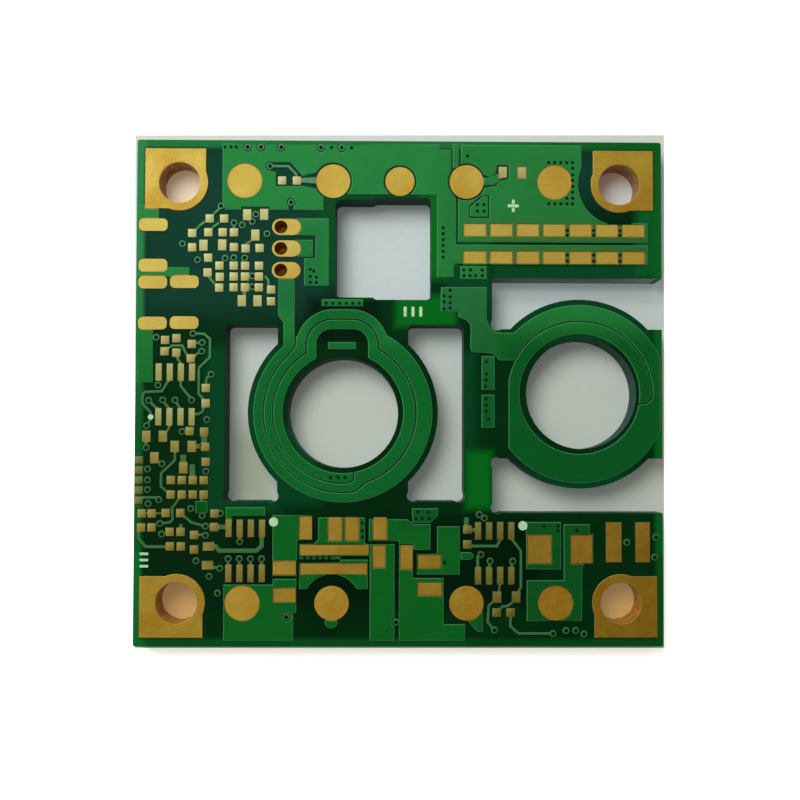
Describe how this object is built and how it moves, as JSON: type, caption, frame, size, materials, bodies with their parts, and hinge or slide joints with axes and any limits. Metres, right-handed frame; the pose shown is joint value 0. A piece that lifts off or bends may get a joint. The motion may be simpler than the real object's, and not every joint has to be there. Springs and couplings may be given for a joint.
{
  "type": "bare circuit board",
  "caption": "Unpopulated multilayer circuit board of an isolated power converter, with planar windings round two core post holes, core windows, gold lands and plated corner holes.",
  "frame": {"origin": "centre of the board's outline, at the underside of the four plated mounting lands on which it lies", "axes": "+X to the right and +Y up over the component side as the picture shows it, +Z up out of that side"},
  "size_m": [0.0606, 0.0582, 0.0033],
  "materials": {
    "laminate": "cut glass-epoxy laminate",
    "solder_mask": "glossy green solder mask",
    "gold_plating": "thin gold over nickel, slightly uneven",
    "copper": "copper foil under the mask",
    "ink": "white printing ink"
  },
  "bodies": {
    "root": {"laminate": "laminate", "solder_mask_top": "solder_mask", "solder_mask_bottom": "solder_mask", "mounting_land_nw": "gold_plating", "mounting_land_ne": "gold_plating", "mounting_land_sw": "gold_plating", "mounting_land_se": "gold_plating", "terminal_land_upper": "gold_plating", "terminal_land_middle": "gold_plating", "terminal_land_lower": "gold_plating", "transformer_winding": "copper", "inductor_winding": "copper", "output_copper": "copper", "output_rail_copper": "copper", "input_copper_left": "copper", "input_copper_middle": "copper", "input_copper_right": "copper", "switch_copper_left": "copper", "switch_copper_middle": "copper", "switch_copper_right": "copper", "diode_copper_left": "copper", "diode_copper_right": "copper", "terminal_copper": "copper", "stitching_copper": "copper", "signal_traces": "copper", "output_pin_land_1": "gold_plating", "output_pin_land_2": "gold_plating", "output_pin_land_3": "gold_plating", "output_pin_land_4": "gold_plating", "output_pin_land_5": "gold_plating", "input_pin_land_1": "gold_plating", "input_pin_land_2": "gold_plating", "input_pin_land_3": "gold_plating", "input_pin_land_4": "gold_plating", "rail_lands_upper": "gold_plating", "rail_lands_lower": "gold_plating", "edge_lands": "gold_plating", "side_lands": "gold_plating", "so_lands_left": "gold_plating", "so_lands_lower_left": "gold_plating", "so_lands_lower_right": "gold_plating", "chip_lands_top": "gold_plating", "chip_lands_upper_left": "gold_plating", "chip_lands_left": "gold_plating", "chip_lands_lower_left": "gold_plating", "chip_lands_lower_right": "gold_plating", "switch_lands": "gold_plating", "bar_lands": "gold_plating", "capacitor_lands": "gold_plating", "diode_lands": "gold_plating", "edge_copper": "copper", "printed_marks": "ink"}
  },
  "joints": []
}
